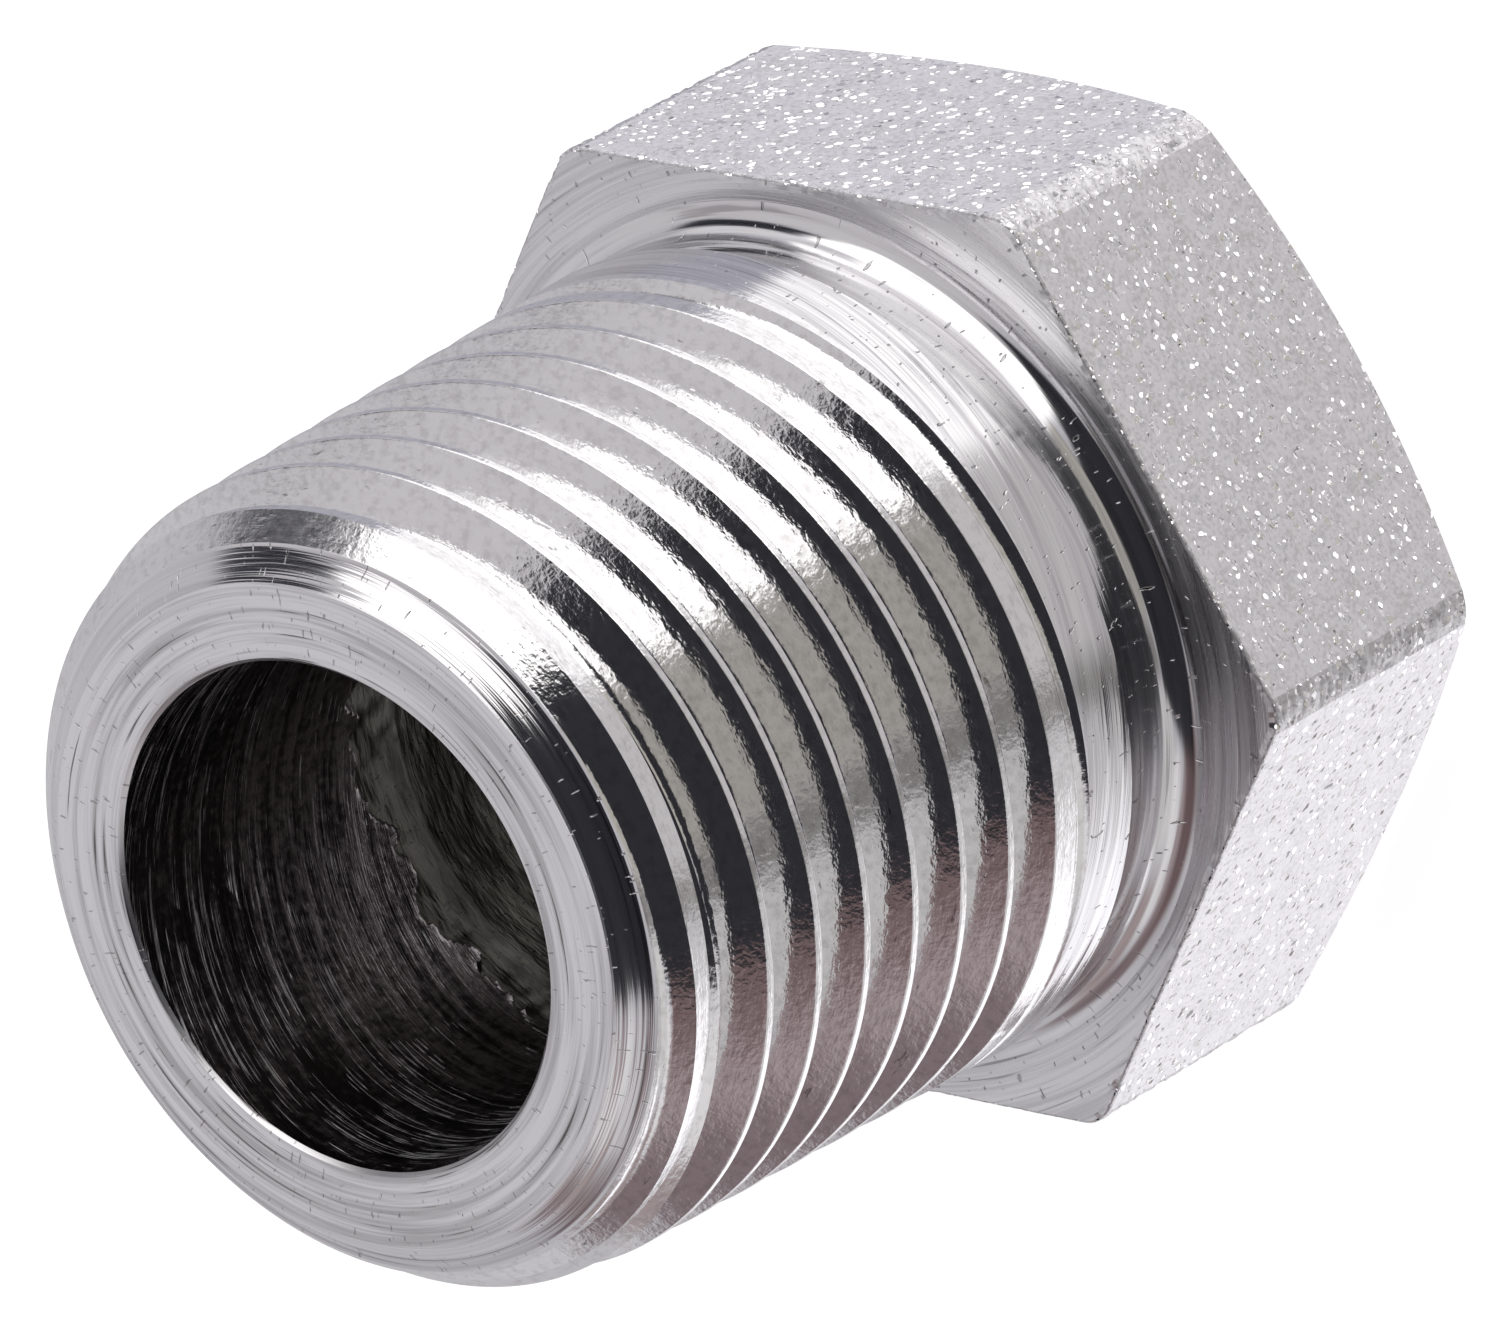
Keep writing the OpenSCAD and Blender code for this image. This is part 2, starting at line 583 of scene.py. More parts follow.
def arc(centre: Point, radius: float, start: float, end: float, steps: int) -> tuple[Point, ...]:
    """Points on an arc of a turned outline.

    Args:
        centre: The arc's centre, as radius and height.
        radius: The arc's own radius.
        start: First angle in degrees, from the outward direction.
        end: Last angle.
        steps: Number of chords.

    Returns:
        The points, both ends included.
    """
    angles = [math.radians(start + (end - start) * i / steps) for i in range(steps + 1)]
    return tuple((centre[0] + radius * math.cos(a), centre[1] + radius * math.sin(a)) for a in angles)


def spin(solid: Solid, outline: list, steps: int, rise: float = 0.0) -> None:
    """Spins an outline one full turn about the axis.

    Args:
        solid: The mesh in work.
        outline: Its vertices and edges to spin.
        steps: Facets round the axis.
        rise: Climb at each step; an outline that climbs stays open.
    """
    bmesh.ops.spin(
        solid,
        geom=outline,
        cent=(0.0, 0.0, 0.0),
        axis=(0.0, 0.0, 1.0),
        dvec=(0.0, 0.0, rise),
        angle=math.tau,
        steps=steps,
        use_merge=not rise,
        use_duplicate=False,
    )


def swing(solid: Solid, degrees: float) -> None:
    """Turns a mesh about the axis."""
    turned = Matrix.Rotation(math.radians(degrees), 3, "Z")
    bmesh.ops.rotate(solid, verts=solid.verts, cent=(0.0, 0.0, 0.0), matrix=turned)


def put_down(name: str, solid: Solid) -> bpy.types.Object:
    """Makes an object of a mesh in work, and frees the mesh.

    Args:
        name: The name of the object.
        solid: The mesh in work.

    Returns:
        The object, which is in the scene.
    """
    mesh = bpy.data.meshes.new(name)
    solid.to_mesh(mesh)
    solid.free()
    made = bpy.data.objects.new(name, mesh)
    bpy.context.scene.collection.objects.link(made)
    return made


def turn(stretches: Sequence[Stretch], steps: int) -> Solid:
    """Spins an outline into a closed solid.

    Args:
        stretches: The outline, from the axis back to the axis.
        steps: Facets round the axis.

    Returns:
        The solid, with each face on its surface's slot.
    """
    solid = bmesh.new()
    for stretch in stretches:
        before = len(solid.faces)
        verts = [solid.verts.new((radius, 0.0, height)) for radius, height in stretch.points]
        edges = [solid.edges.new(pair) for pair in zip(verts, verts[1:])]
        spin(solid, verts + edges, steps)
        solid.faces.ensure_lookup_table()
        for face in solid.faces[before:]:
            face.material_index = stretch.surface
    bmesh.ops.remove_doubles(solid, verts=solid.verts, dist=MERGE_DISTANCE)
    bmesh.ops.recalc_face_normals(solid, faces=solid.faces)
    return solid


class Workpiece:
    """A solid on the bench, which other solids are joined to or cut from."""

    def __init__(self, name: str, solid: Solid, materials: Materials) -> None:
        """Puts a mesh on the bench.

        Args:
            name: The piece's name.
            solid: Its shape, which is freed.
            materials: The material slots, in the order of Surface.
        """
        self.piece = put_down(name, solid)
        for material in materials:
            self.piece.data.materials.append(material)

    def apply(self, cut: Cut, tool: "Workpiece") -> None:
        """Joins, removes or keeps the tool's volume, and takes the tool off the bench.

        Args:
            cut: What is done with it.
            tool: The tool.
        """
        modifier = self.piece.modifiers.new(cut.name, "BOOLEAN")
        modifier.operation = cut.value
        modifier.solver = "MANIFOLD"
        modifier.object = tool.piece
        shaped = self.piece.evaluated_get(bpy.context.evaluated_depsgraph_get())
        mesh = bpy.data.meshes.new_from_object(shaped)
        self.piece.modifiers.remove(modifier)
        old = self.piece.data
        mesh.name = old.name
        self.piece.data = mesh
        bpy.data.meshes.remove(old)
        spent = tool.piece.data
        bpy.data.objects.remove(tool.piece)
        bpy.data.meshes.remove(spent)

    def reshape(self, work: Callable[[Solid], None]) -> None:
        """Lets a function work on the mesh.

        Args:
            work: The function.
        """
        solid = bmesh.new()
        solid.from_mesh(self.piece.data)
        work(solid)
        solid.to_mesh(self.piece.data)
        solid.free()


def push(vert: Vert, radius: float) -> None:
    """Moves a vertex straight out from the axis to a radius.

    Args:
        vert: The vertex.
        radius: Its new distance from the axis.
    """
    flat = math.hypot(vert.co.x, vert.co.y)
    vert.co.x *= radius / flat
    vert.co.y *= radius / flat


def bevel(solid: Solid, edges: list[Edge], width: float, segments: int, material: int = -1) -> dict:
    """Rounds edges off.

    Args:
        solid: The mesh in work.
        edges: Its edges to round.
        width: How far the rounding reaches.
        segments: Its facets.
        material: The slot of the new faces, or -1 for their neighbours' own.

    Returns:
        The new vertices, edges and faces, by those names.
    """
    return bmesh.ops.bevel(
        solid,
        geom=edges,
        offset=width,
        offset_type="OFFSET",
        segments=segments,
        profile=0.5,
        affect="EDGES",
        material=material,
        clamp_overlap=False,
    )


@dataclass
class HexHead:
    """The hex: a length of rolled bar, faced in front and chamfered behind."""

    across_flats: float = 23.8
    corner_diameter: float = 27.2
    height: float = 8.9
    chamfer_width: float = 0.6
    chamfer_angle: float = 25.0
    corner_segments: int = 6
    rim: float = 0.22
    rim_cuts: int = 140
    rim_bevel: float = 0.07
    corner_cuts: int = 110
    burr: float = 0.07
    chipping: float = 0.09
    below: float = 0.5
    facets: int = 240

    def _sharp_radius(self) -> float:
        """Radius over the hex's corners before they are rounded."""
        return self.across_flats / 2 / math.cos(HALF_SIDE)

    def _corner_offset(self) -> float:
        """How far each corner's rounding reaches along a flat.

        Returns:
            The distance from the sharp corner.
        """
        cut = self._sharp_radius() - self.corner_diameter / 2
        radius = cut / (1 / math.cos(HALF_SIDE) - 1)
        return radius * math.tan(HALF_SIDE)

    def bar(self) -> Solid:
        """Shapes the bar with its rounded, chipped corners and its burred front edge.

        Returns:
            The bar, from below the back face up to the front face.
        """
        solid = bmesh.new()
        bmesh.ops.create_circle(solid, segments=6, radius=self._sharp_radius(), cap_ends=True)
        swing(solid, 30.0)
        bmesh.ops.translate(solid, verts=solid.verts, vec=(0, 0, -self.below))
        grown = bmesh.ops.extrude_face_region(solid, geom=list(solid.faces), use_keep_orig=True)
        tops = [item for item in grown["geom"] if isinstance(item, Vert)]
        bmesh.ops.translate(solid, verts=tops, vec=(0, 0, self.height + self.below))
        bmesh.ops.recalc_face_normals(solid, faces=solid.faces)
        for face in solid.faces:
            face.material_index = Surface.FLAT if abs(face.normal.z) < 0.5 else Surface.HEX_FACE
        upright = [edge for edge in solid.edges if abs(edge.verts[0].co.z - edge.verts[1].co.z) > 1.0]
        rounded = bevel(solid, upright, self._corner_offset(), self.corner_segments)
        for face in rounded["faces"]:
            face.material_index = Surface.CORNER
        self._ready_front_edge(solid)
        self._chip_corners(solid)
        return solid

    def _ready_front_edge(self, solid: Solid) -> None:
        """Gives the front edge a fine bevel and raises its burr.

        Args:
            solid: The mesh in work.
        """
        front = [face for face in solid.faces if face.normal.z > 0.5]
        bmesh.ops.inset_region(solid, faces=front, thickness=self.rim, use_even_offset=True)
        bmesh.ops.bisect_plane(
            solid,
            geom=list(solid.verts) + list(solid.edges) + list(solid.faces),
            dist=1e-5,
            plane_co=(0, 0, self.height - self.rim),
            plane_no=(0, 0, 1),
        )
        level = self.height - self.rim - NEAR
        long_edges = [
            edge
            for edge in solid.edges
            if min(v.co.z for v in edge.verts) > level
            and abs(edge.verts[0].co.z - edge.verts[1].co.z) < NEAR
            and edge.calc_length() > 2.0
        ]
        bmesh.ops.subdivide_edges(solid, edges=long_edges, cuts=self.rim_cuts, use_grid_fill=True)
        rim = [
            edge
            for edge in solid.edges
            if all(v.co.z > self.height - NEAR for v in edge.verts)
            and any(abs(face.normal.z) < 0.5 for face in edge.link_faces)
        ]
        # The bevel takes the corners' darker finish, which paints shade along the front edge
        bevelled = bevel(solid, rim, self.rim_bevel, 2, int(Surface.CORNER))
        for vert in bevelled["verts"]:
            self._burr(vert)

    def _burr(self, vert: Vert) -> None:
        """Roughens one vertex of the front edge, most near a corner.

        Args:
            vert: The vertex.
        """
        angle = math.degrees(math.atan2(vert.co.y, vert.co.x)) % 60.0
        nearness = math.exp(-((min(angle, 60.0 - angle) / 4.0) ** 2))
        spike = noise.noise(vert.co * 2.3) + 0.6 * noise.noise(vert.co * 7.1)
        size = self.burr * (0.35 + 0.9 * nearness)
        flat = math.hypot(vert.co.x, vert.co.y)
        push(vert, flat - abs(spike) * size * 0.8)
        vert.co.z += (spike - 0.25) * size

    def _chip_corners(self, solid: Solid) -> None:
        """Chips the rounded corners, leaving their lines with the flats straight.

        Args:
            solid: The mesh in work.
        """
        offset = self._corner_offset()
        edges = [
            edge
            for edge in solid.edges
            if abs(edge.verts[0].co.z - edge.verts[1].co.z) > 2.0
            and any(face.material_index == Surface.CORNER for face in edge.link_faces)
        ]
        made = bmesh.ops.subdivide_edges(solid, edges=edges, cuts=self.corner_cuts, use_grid_fill=True)
        side = self.across_flats / 2 * math.tan(HALF_SIDE) - offset
        inner = math.hypot(self.across_flats / 2, side) + 0.01
        for item in made["geom_inner"]:
            if isinstance(item, Vert):
                flat = math.hypot(item.co.x, item.co.y)
                if flat > inner:
                    depth = abs(noise.noise(item.co * 2.9)) + 0.7 * abs(noise.noise(item.co * 8.3))
                    push(item, flat - depth * self.chipping)

    def envelope(self) -> Solid:
        """The turned outline that faces and chamfers the back of the bar.

        Returns:
            A solid of revolution.
        """
        inner = self.across_flats / 2 - self.chamfer_width
        outer = self.corner_diameter / 2 + 1.0
        rise = (outer - inner) * math.tan(math.radians(self.chamfer_angle))
        top = self.height + 1.0
        outline = ((0.0, 0.0), (inner, 0.0), (outer, rise), (outer, top), (0.0, top))
        return turn([Stretch(Surface.HEX_FACE, outline)], self.facets)


@dataclass
class Shank:
    """Neck, land, tapered shank and end chamfer, turned in one setting."""

    base: float = 8.9
    sunk: float = 0.6
    fillet_radius: float = 0.87
    neck_radius: float = 10.5
    neck_end: float = 11.12
    land_start: float = 11.2
    land_end: float = 12.9
    end_diameter: float = 20.65
    taper: float = 0.0625
    lead_radius: float = 9.9
    lead_start: float = 26.55
    chamfer_start: float = 27.15
    rings_start: float = 27.72
    ridge: float = 0.04
    face_radius: float = 8.5
    total: float = 28.4
    edge: float = 0.04
    facets: int = 288

    def crest_radius(self, height: float) -> float:
        """Radius over the crests at a height."""
        return (self.end_diameter + self.taper * (self.total - height)) / 2

    def outline(self) -> list[Stretch]:
        """The turned outline before threading.

        Returns:
            Its stretches, from the axis inside the hex round to the axis at the end face.
        """
        foot = self.neck_radius + self.fillet_radius
        fillet = arc((foot, self.base + self.fillet_radius), self.fillet_radius, 270.0, 180.0, 12)
        buried = ((0.0, self.base - self.sunk), (foot, self.base - self.sunk), (foot, self.base - 0.01))
        land_radius = self.crest_radius(self.land_start)
        step = (
            fillet[-1],
            (self.neck_radius, self.neck_end),
            (land_radius - self.edge, self.land_start - self.edge),
            (land_radius, self.land_start),
        )
        slope_start = self.lead_start - (self.crest_radius(self.lead_start) - self.lead_radius)
        slope = (self.lead_radius - self.face_radius) / (self.total - self.chamfer_start)
        ridge_radius = self.lead_radius - slope * (self.rings_start - self.chamfer_start)
        land_top = (self.crest_radius(self.land_end), self.land_end)
        ridge_foot = (ridge_radius, self.rings_start)
        face_rim = (self.face_radius, self.total - self.edge)
        return [
            Stretch(Surface.HEX_FACE, buried),
            Stretch(Surface.NECK, (buried[-1], *fillet[1:])),
            Stretch(Surface.NECK, step),
            Stretch(Surface.LAND, (step[-1], land_top)),
            Stretch(
                Surface.THREAD,
                (
                    land_top,
                    (self.crest_radius(slope_start), slope_start),
                    (self.lead_radius, self.lead_start),
                    (self.lead_radius, self.chamfer_start),
                    ridge_foot,
                ),
            ),
            Stretch(
                Surface.CHAMFER,
                (
                    ridge_foot,
                    (ridge_radius + self.ridge * 0.2, self.rings_start + self.ridge),
                    (ridge_radius - slope * self.ridge * 1.6, self.rings_start + self.ridge * 1.6),
                    face_rim,
                ),
            ),
            Stretch(
                Surface.END_FACE,
                (face_rim, (self.face_radius - self.edge, self.total), (0.0, self.total)),
            ),
        ]


@dataclass
class Groove:
    """A helical groove of 60 degree form, which is cut into a wall from outside or inside."""

    pitch: float
    depth: float
    crest_width: float
    start_height: float
    start_angle: float
    turns: int
    wall: Callable[[float], float]
    surface: Surface
    inwards: bool = True
    half_angle: float = 30.0
    crest_rounding: float = 0.04
    fade_in: float = 1.1
    fade_out: float = 0.0
    clear: float = 0.6
    wobble: float = 0.012
    facets: int = 288
    lift: float = 0.003
    # How far from a flank's ends it has points of its own, which keep its shading flat
    hold: float = 0.04
    root_steps: int = 6
    rounding_steps: int = 3
    spare: float = 0.05

    def section(self) -> list[Point]:
        """The groove's section as (offset along the axis, depth) points, in order.

        Returns:
            A closed outline that reaches past the wall.
        """
        half = math.radians(self.half_angle)
        mouth = (self.pitch - self.crest_width) / 2
        apex = mouth / math.tan(half)
        root = (apex - self.depth) / (1 / math.sin(half) - 1)
        rounding = self.crest_rounding
        turned = math.pi / 2 - half
        edge = mouth + rounding * math.tan(turned / 2)
        side: list[Point] = [(edge, -self.clear)]
        for i in range(self.rounding_steps + 1):
            angle = turned * i / self.rounding_steps
            side.append((edge - rounding * math.sin(angle), self.lift + rounding * (1 - math.cos(angle))))
        centre = apex - root / math.sin(half)
        across, down = self.hold * math.sin(half), self.hold * math.cos(half)
        side.append((side[-1][0] - across, side[-1][1] + down))
        side.append((root * math.sin(turned) + across, centre + root * math.cos(turned) - down))
        for i in range(self.root_steps // 2 + 1):
            angle = turned * (1 - i / (self.root_steps // 2))
            side.append((root * math.sin(angle), centre + root * math.cos(angle)))
        return side + [(-offset, depth) for offset, depth in reversed(side[:-1])]

    def _turns_at(self, vert: Vert) -> float:
        """How many turns of the helix lead to a vertex.

        Args:
            vert: The vertex.

        Returns:
            Whole turns and the part of one.
        """
        angle = (math.atan2(vert.co.y, vert.co.x) - math.radians(self.start_angle)) / math.tau % 1.0
        climbed = (vert.co.z - self.start_height) / self.pitch
        return angle + round(climbed - angle)

    def _fade(self, turns: float) -> float:
        """Share of the depth that is lost where the groove runs in and, if it does, out.

        Args:
            turns: How many turns along the groove.

        Returns:
            0 where nothing is lost.
        """
        entering = 1.0 - turns / self.fade_in
        leaving = 1.0 - (self.turns - turns) / self.fade_out if self.fade_out else 0.0
        return max(0.0, entering, leaving)

    def tool(self) -> Solid:
        """Spins the section along the helix and settles it on the wall.

        Returns:
            The solid to be cut away.
        """
        sign = -1.0 if self.inwards else 1.0
        datum = self.wall(self.start_height)
        solid = bmesh.new()
        verts = [
            solid.verts.new((datum + sign * depth, 0.0, self.start_height + offset))
            for offset, depth in self.section()
        ]
        edges = [solid.edges.new(pair) for pair in zip(verts, verts[1:] + verts[:1])]
        swing(solid, self.start_angle)
        spin(solid, verts + edges, self.facets, rise=self.pitch / self.facets)
        first_turn = list(solid.verts) + list(solid.edges) + list(solid.faces)
        for i in range(1, self.turns):
            copied = bmesh.ops.duplicate(solid, geom=first_turn)["geom"]
            moved = [item for item in copied if isinstance(item, Vert)]
            bmesh.ops.translate(solid, verts=moved, vec=(0, 0, i * self.pitch))
        bmesh.ops.remove_doubles(solid, verts=solid.verts, dist=SEAM_DISTANCE)
        bmesh.ops.holes_fill(solid, edges=[edge for edge in solid.edges if edge.is_boundary], sides=0)
        for vert in solid.verts:
            self._settle(vert, datum, sign)
        bmesh.ops.recalc_face_normals(solid, faces=solid.faces)
        for face in solid.faces:
            face.material_index = self.surface
        return solid

    def _settle(self, vert: Vert, datum: float, sign: float) -> None:
        """Moves a vertex onto the tapered wall, fades its depth and lets the crest waver.

        Args:
            vert: The vertex.
            datum: The wall's radius where the groove starts.
            sign: 1 where the groove is cut outwards, or -1.
        """
        turns = self._turns_at(vert)
        radius = math.hypot(vert.co.x, vert.co.y)
        lost = self._fade(turns) * (self.depth + self.spare)
        offset = vert.co.z - self.start_height - turns * self.pitch
        push(vert, radius + self.wall(vert.co.z) - datum - sign * lost)
        side = math.copysign(1.0, offset)
        share = min(1.0, abs(offset) / (self.pitch / 2)) ** 4
        waver = noise.noise(Vector((vert.co.x, vert.co.y, turns * 3.0 + side)) * 0.9)
        waver += 0.5 * noise.noise(Vector((vert.co.x, vert.co.y, turns * 5.0 - side)) * 2.7)
        vert.co.z += share * self.wobble * waver


@dataclass
class Passage:
    """The way through: the plain bore, its torn edge, the port and its countersink."""

    total: float = 28.4
    bore_radius: float = 6.5
    rim_break: float = 0.1
    port_radius: float = 7.35
    mouth_radius: float = 8.7
    torn_low: float = 17.0
    torn_high: float = 21.2
    torn_rings: int = 44
    torn_reach: float = 1.1
    torn_width: float = 0.14
    torn_lip: float = 0.26
    over: float = 0.5
    facets: int = 288

    def tool(self) -> Solid:
        """Turns the passage and tears the edge where the port meets the bore.

        Returns:
            The solid to be cut away.
        """
        mouth_depth = self.mouth_radius - self.port_radius
        heights = [
            self.torn_low + (self.torn_high - self.torn_low) * i / self.torn_rings
            for i in range(self.torn_rings + 1)
        ]
        outer = self.mouth_radius + self.over
        mouth = (self.port_radius, mouth_depth)
        shelf = (self.bore_radius, self.torn_high + 0.02)
        rim = (self.bore_radius, self.total - self.rim_break)
        past_rim = (self.bore_radius + self.rim_break + self.over, self.total + self.over)
        solid = turn(
            [
                Stretch(Surface.PORT, ((0.0, -self.over), (outer, -self.over))),
                Stretch(Surface.HEX_FACE, ((outer, -self.over), mouth)),
                Stretch(Surface.PORT, (mouth, (self.port_radius, self.torn_low))),
                Stretch(Surface.PORT, tuple((self.port_radius, height) for height in heights)),
                Stretch(Surface.BORE, ((self.port_radius, self.torn_high), shelf)),
                Stretch(Surface.BORE, (shelf, rim)),
                Stretch(Surface.END_FACE, (rim, past_rim, (0.0, self.total + self.over))),
            ],
            self.facets,
        )
        for vert in solid.verts:
            torn = self.torn_low - NEAR < vert.co.z < self.torn_high + NEAR
            if torn and vert.co.xy.length > 1.0:
                self._tear(vert)
        for face in solid.faces:
            inside = face.calc_center_median().xy.length < self.bore_radius + 0.1
            if face.material_index == Surface.PORT and inside:
                face.material_index = Surface.BORE
        return solid

    def _tear(self, vert: Vert) -> None:
        """Narrows the port towards the bore, and ends it in a ragged lip.

        Args:
            vert: A vertex of the port's wall.
        """
        place = Vector((vert.co.x, vert.co.y, 0.0))
        middle = (self.torn_low + self.torn_high) / 2
        ragged = noise.noise(place * 0.35) + 0.6 * noise.noise(place * 0.9)
        ragged += 0.35 * noise.noise(place * 2.3)
        edge = middle + self.torn_reach * ragged
        share = min(1.0, max(0.0, 0.5 + (vert.co.z - edge) / self.torn_width))
        reached = min(1.0, max(0.0, (vert.co.z - self.torn_low) / (edge - self.torn_low)))
        lip = self.bore_radius + self.torn_lip
        wall = self.port_radius + (lip - self.port_radius) * reached ** 0.6
        wall += 0.06 * noise.noise(vert.co * 1.3) + 0.03 * noise.noise(vert.co * 2.9)
        push(vert, wall + (self.bore_radius - wall) * share)


@dataclass
class Adapter:
    """The whole adapter: one solid, cut from bar."""

    head: HexHead = field(default_factory=HexHead)
    shank: Shank = field(default_factory=Shank)
    passage: Passage = field(default_factory=Passage)
    crease: float = 22.0
    camera_side: float = -90.0

    def male_groove(self) -> Groove:
        """The taper thread's groove, which starts shallow by the neck and runs off the end.

        Returns:
            The groove.
        """
        pitch = INCH / 14
        lead = 0.3
        height_in_front = 13.29
        return Groove(
            pitch=pitch,
            depth=1.1,
            crest_width=0.2,
            start_height=height_in_front - lead * pitch,
            start_angle=self.camera_side - lead * 360.0,
            turns=9,
            wall=self.shank.crest_radius,
            surface=Surface.THREAD,
        )

    def port_groove(self) -> Groove:
        """The port's own thread, which narrows inwards.

        Returns:
            The groove.
        """
        port = self.passage.port_radius
        straight, narrowing = 2.0, 0.03
        return Groove(
            pitch=INCH / 18,
            depth=0.86,
            crest_width=0.22,
            start_height=-1.2,
            start_angle=20.0,
            turns=11,
            wall=lambda height: port - narrowing * max(0.0, height - straight),
            surface=Surface.PORT,
            inwards=False,
            fade_in=0.2,
            fade_out=2.5,
            facets=144,
            root_steps=4,
            rounding_steps=1,
        )

    def build(self, materials: Materials) -> bpy.types.Object:
        """Machines the adapter.

        Args:
            materials: The material slots, in the order of Surface.

        Returns:
            The finished piece, in metres.
        """
        work = Workpiece("adapter", self.head.bar(), materials)
        shank = turn(self.shank.outline(), self.shank.facets)
        work.apply(Cut.KEEP_INSIDE, Workpiece("envelope", self.head.envelope(), materials))
        work.apply(Cut.JOIN, Workpiece("shank", shank, materials))
        work.apply(Cut.REMOVE, Workpiece("male_groove", self.male_groove().tool(), materials))
        work.apply(Cut.REMOVE, Workpiece("passage", self.passage.tool(), materials))
        work.apply(Cut.REMOVE, Workpiece("port_groove", self.port_groove().tool(), materials))
        work.reshape(self._finish_edges)
        return work.piece

    def _finish_edges(self, solid: Solid) -> None:
        """Cleans the mesh, creases its edges and brings it to metres.

        Args:
            solid: The mesh in work.
        """
        bmesh.ops.remove_doubles(solid, verts=solid.verts, dist=MERGE_DISTANCE)
        bmesh.ops.dissolve_degenerate(solid, edges=solid.edges, dist=MERGE_DISTANCE)
        bmesh.ops.delete(solid, geom=[edge for edge in solid.edges if edge.is_wire], context="EDGES")
        stray = [face for face in solid.faces if all(edge.is_boundary for edge in face.edges)]
        bmesh.ops.delete(solid, geom=stray, context="FACES")
        limit = math.radians(self.crease)
        planes = (Surface.FLAT, Surface.HEX_FACE, Surface.END_FACE)
        for face in solid.faces:
            face.smooth = face.material_index not in planes
        for edge in solid.edges:
            edge.smooth = edge.is_manifold and edge.calc_face_angle() < limit
        bmesh.ops.scale(solid, verts=solid.verts, vec=(MM, MM, MM))
        loose = sum(1 for edge in solid.edges if not edge.is_manifold)
        corners = sum(len(face.verts) - 2 for face in solid.faces)
        log.info("adapter: %d triangles, %d open edges", corners, loose)

    def dress(self, piece: bpy.types.Object) -> None:
        """Ties the piece to the frame.

        Args:
            piece: The finished adapter.
        """
        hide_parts(NODE)
        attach(piece, BODY)


# Studio


@dataclass(frozen=True)
class Card:
    """A flat card with soft edges that stands in the studio, as the metal sees it.

    Its angles are in degrees: where its centre is, half its width and height, and its edge.
    """

    name: str
    azimuth: float
    elevation: float
    half_width: float
    half_height: float
    softness: float
    colour: Colour

    def _axes(self) -> tuple[Vector, Vector, Vector]:
        """Unit vectors to the card's centre, along its width and up its height.

        Returns:
            The three vectors, in that order.
        """
        azimuth, elevation = math.radians(self.azimuth), math.radians(self.elevation)
        flat = math.cos(elevation)
        centre = Vector((flat * math.cos(azimuth), flat * math.sin(azimuth), math.sin(elevation)))
        across = Vector((-math.sin(azimuth), math.cos(azimuth), 0.0))
        return centre, across, centre.cross(across)

    def mask(self, graph: Graph, towards: Value) -> Value:
        """Finds the part of the dome that the card covers.

        Args:
            graph: The dome's graph.
            towards: The direction that the metal looks in.

        Returns:
            1 on the card and 0 off it.
        """
        centre, across, upward = self._axes()
        ahead = graph.vector("DOT_PRODUCT", towards, centre, output="Value")
        edge = math.radians(self.softness)
        covers = []
        for axis, half in ((across, self.half_width), (upward, self.half_height)):
            off = graph.function("ABSOLUTE", graph.vector("DOT_PRODUCT", towards, axis, output="Value"))
            covers.append(graph.step(ahead * math.tan(math.radians(half)) - off, -edge, edge))
        return covers[0] * covers[1]


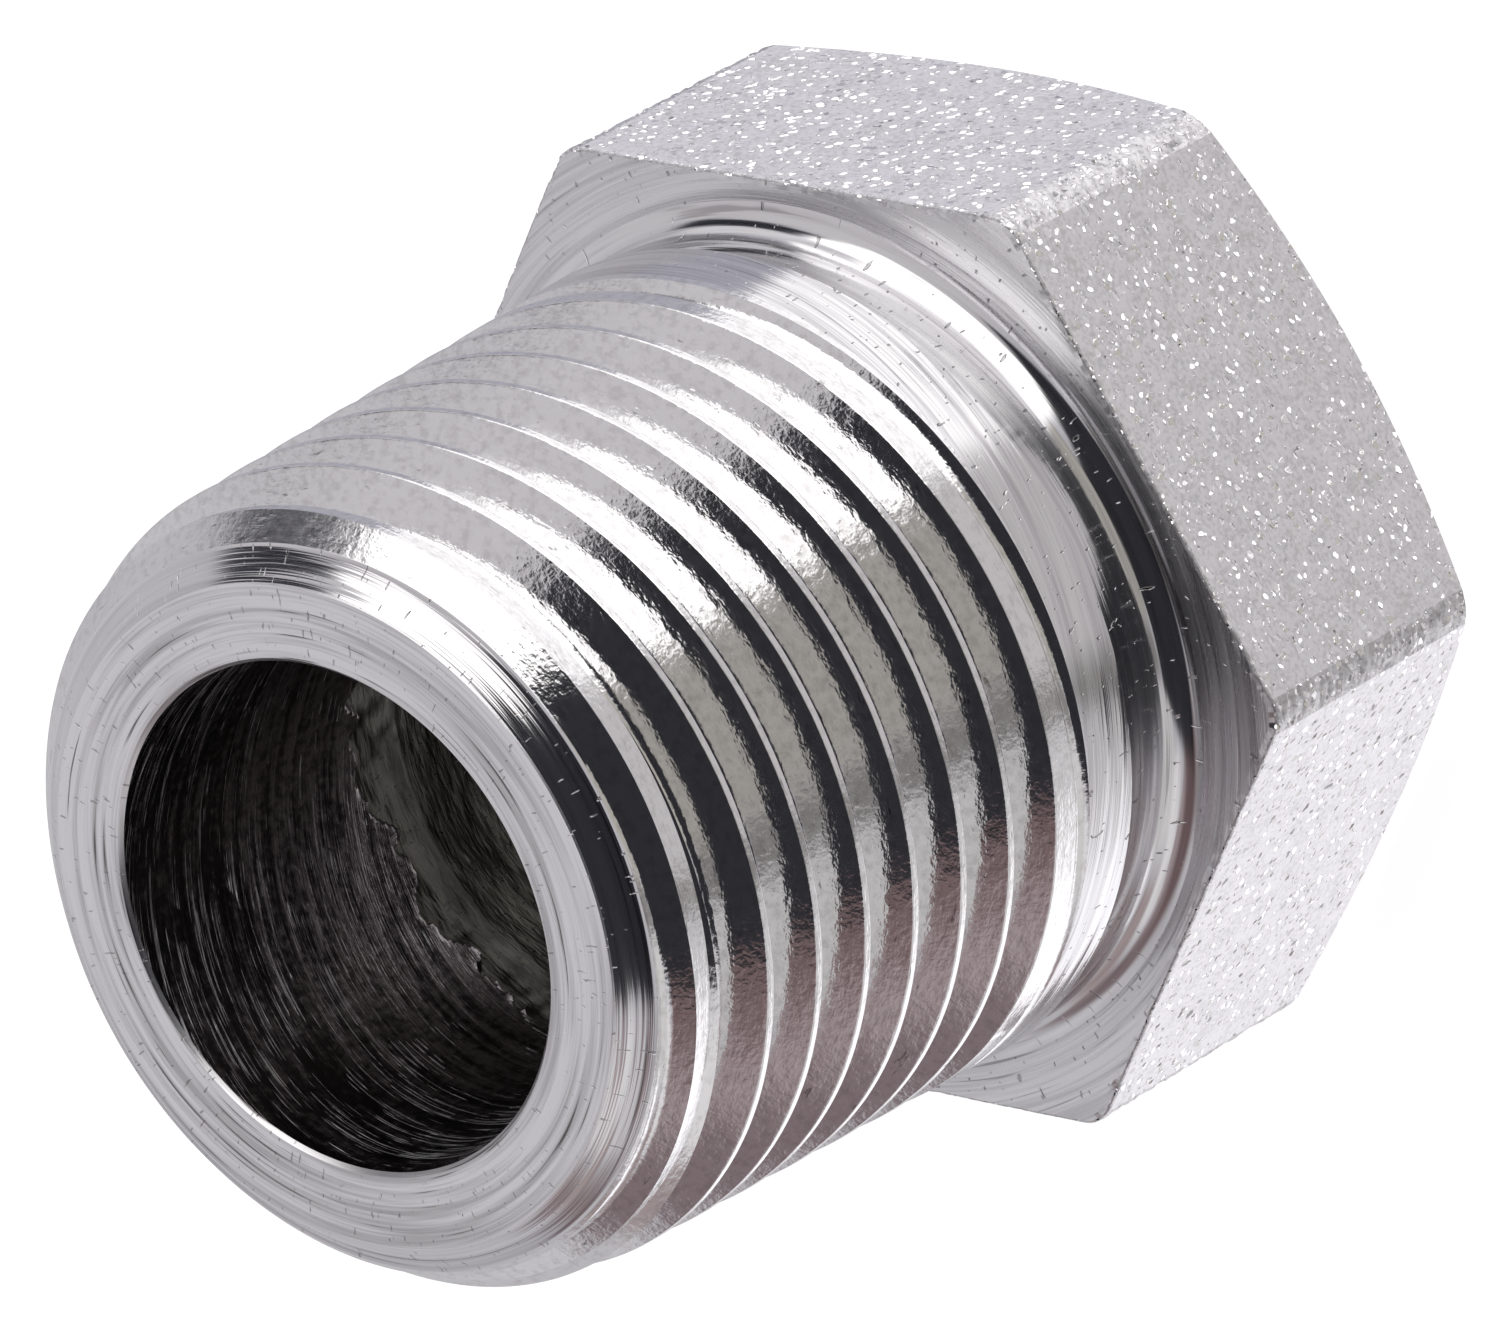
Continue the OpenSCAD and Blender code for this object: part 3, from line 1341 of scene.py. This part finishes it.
@dataclass
class Studio:
    """Floor, light and camera."""

    base: Colour = (0.56, 0.55, 0.57)
    cards: tuple[Card, ...] = (
        Card("back", 91.0, 45.0, 42.0, 40.0, 10.0, (0.63, 0.62, 0.64)),
        Card("low_left", 158.0, -45.0, 28.0, 30.0, 8.0, (1.34, 1.32, 1.35)),
        Card("side_left", -156.0, -12.0, 20.0, 32.0, 6.0, (0.68, 0.67, 0.66)),
        Card("low_right", 36.0, -42.0, 30.0, 30.0, 6.0, (0.42, 0.415, 0.47)),
        Card("upper_right", 15.0, 54.0, 36.0, 20.0, 4.0, (0.62, 0.60, 0.62)),
        Card("smudge", 19.0, 21.5, 14.0, 9.0, 2.5, (0.03, 0.03, 0.04)),
        Card("mauve_wall", 160.0, 43.0, 20.0, 13.0, 6.0, (0.40, 0.33, 0.34)),
        Card("brown_corner", 142.0, 28.0, 9.0, 16.0, 5.0, (0.22, 0.17, 0.18)),
        Card("brown_wall", 180.0, 60.0, 30.0, 12.0, 6.0, (0.19, 0.13, 0.13)),
        Card("mauve_low", 160.0, 6.0, 16.0, 12.0, 6.0, (0.38, 0.31, 0.31)),
        Card("left_window", -178.0, 27.0, 20.0, 9.0, 4.0, (0.80, 0.78, 0.79)),
        Card("olive", -94.0, -24.0, 28.0, 34.0, 2.5, (0.46, 0.44, 0.405)),
        Card("gap", -128.0, -30.0, 7.0, 34.0, 4.0, (0.27, 0.26, 0.25)),
        Card("key", -34.0, -5.0, 37.0, 57.0, 2.5, (1.7, 1.68, 1.66)),
        Card("floor_front", -94.0, -52.0, 23.0, 18.0, 5.0, (0.58, 0.56, 0.57)),
        Card("floor_key", -29.0, -54.0, 24.0, 14.0, 4.0, (1.12, 1.10, 1.11)),
        Card("side_right", 8.0, 2.0, 21.0, 10.0, 4.0, (0.84, 0.82, 0.84)),
        Card("dark_room", -111.0, 50.0, 34.0, 42.0, 3.0, (0.03, 0.03, 0.035)),
    )
    floor_size: float = 4.0
    floor_glow: float = 0.88
    floor_albedo: float = 0.42

    def build(self, view: "View") -> None:
        """Sets up the dome, the floor and the camera.

        Args:
            view: Where the camera stands.
        """
        self._dome()
        self._floor()
        view.build()
        settings = bpy.context.scene.view_settings
        settings.view_transform = "Standard"

    def _dome(self) -> None:
        """Paints the dome that lights the metal; the camera sees plain white."""
        world = bpy.data.worlds.new("studio_dome")
        bpy.context.scene.world = world
        world.use_nodes = True
        # The metal finds the dome by its own reflections, so the dome isn't sampled as a lamp too
        world.cycles.sampling_method = "NONE"
        graph = Graph(world.node_tree)
        towards = graph.node("ShaderNodeTexCoord", output="Generated")
        colour: object = self.base
        for card in self.cards:
            colour = graph.mix(card.mask(graph, towards), colour, card.colour)
        lit = graph.node("ShaderNodeBackground", {}, {"Color": colour, "Strength": 1.0})
        white = graph.node("ShaderNodeBackground", {}, {"Color": WHITE, "Strength": 1.0})
        seen = graph.node("ShaderNodeLightPath", output="Is Camera Ray")
        shown = graph.node("ShaderNodeMixShader", {}, {0: seen, 1: lit, 2: white})
        graph.node("ShaderNodeOutputWorld", {}, {"Surface": shown})

    def _floor(self) -> None:
        """Lays the pale floor, which keeps a faint shadow and stays out of the reflections."""
        solid = bmesh.new()
        bmesh.ops.create_grid(solid, x_segments=1, y_segments=1, size=self.floor_size / 2)
        floor = put_down("floor", solid)
        material = bpy.data.materials.new("pale_floor")
        material.use_nodes = True
        graph = Graph(material.node_tree)
        matt = (self.floor_albedo,) * 3
        board = graph.node("ShaderNodeBsdfDiffuse", {}, {"Color": (*matt, 1.0)})
        glow = graph.node("ShaderNodeEmission", {}, {"Color": WHITE, "Strength": self.floor_glow})
        seen = graph.node("ShaderNodeLightPath", output="Is Camera Ray")
        lit = graph.node("ShaderNodeAddShader", {}, {0: board, 1: glow})
        shown = graph.node("ShaderNodeMixShader", {}, {0: seen, 1: board, 2: lit})
        graph.node("ShaderNodeOutputMaterial", {}, {"Surface": shown})
        floor.data.materials.append(material)
        floor.visible_glossy = False
        floor.visible_shadow = False


@dataclass
class View:
    """The photograph's camera, above the threaded end and rolled over."""

    azimuth: float = -89.07
    elevation: float = 45.465
    roll: float = -119.455
    distance: float = 439.17
    target: tuple[float, float, float] = (0.43, 0.01, 11.83)
    lens: float = 432.0
    sensor: float = 36.0

    def build(self) -> None:
        """Makes the camera and sets it as the scene's own."""
        azimuth, elevation = math.radians(self.azimuth), math.radians(self.elevation)
        flat = math.cos(elevation)
        back = Vector((flat * math.cos(azimuth), flat * math.sin(azimuth), math.sin(elevation)))
        level = back.to_track_quat("Z", "Y").to_matrix()
        turned = level @ Matrix.Rotation(math.radians(self.roll), 3, "Z")
        data = bpy.data.cameras.new("camera")
        data.lens = self.lens
        data.sensor_width = self.sensor
        data.clip_start = 0.01
        data.clip_end = 10.0
        camera = bpy.data.objects.new("camera", data)
        eye = (Vector(self.target) + back * self.distance) * MM
        camera.matrix_world = Matrix.Translation(eye) @ turned.to_4x4()
        bpy.context.scene.collection.objects.link(camera)
        bpy.context.scene.camera = camera


def main() -> None:
    """Builds the studio and the adapter."""
    logging.basicConfig(level=logging.INFO, format="%(message)s")
    Studio().build(View())
    log.info("studio: dome, floor and camera")
    recipes = finishes()
    materials = [recipes[surface].build() for surface in Surface]
    adapter = Adapter()
    piece = adapter.build(materials)
    adapter.dress(piece)
    log.info("adapter: on the frame in place of %s", NODE)


if __name__ == "__main__":
    main()
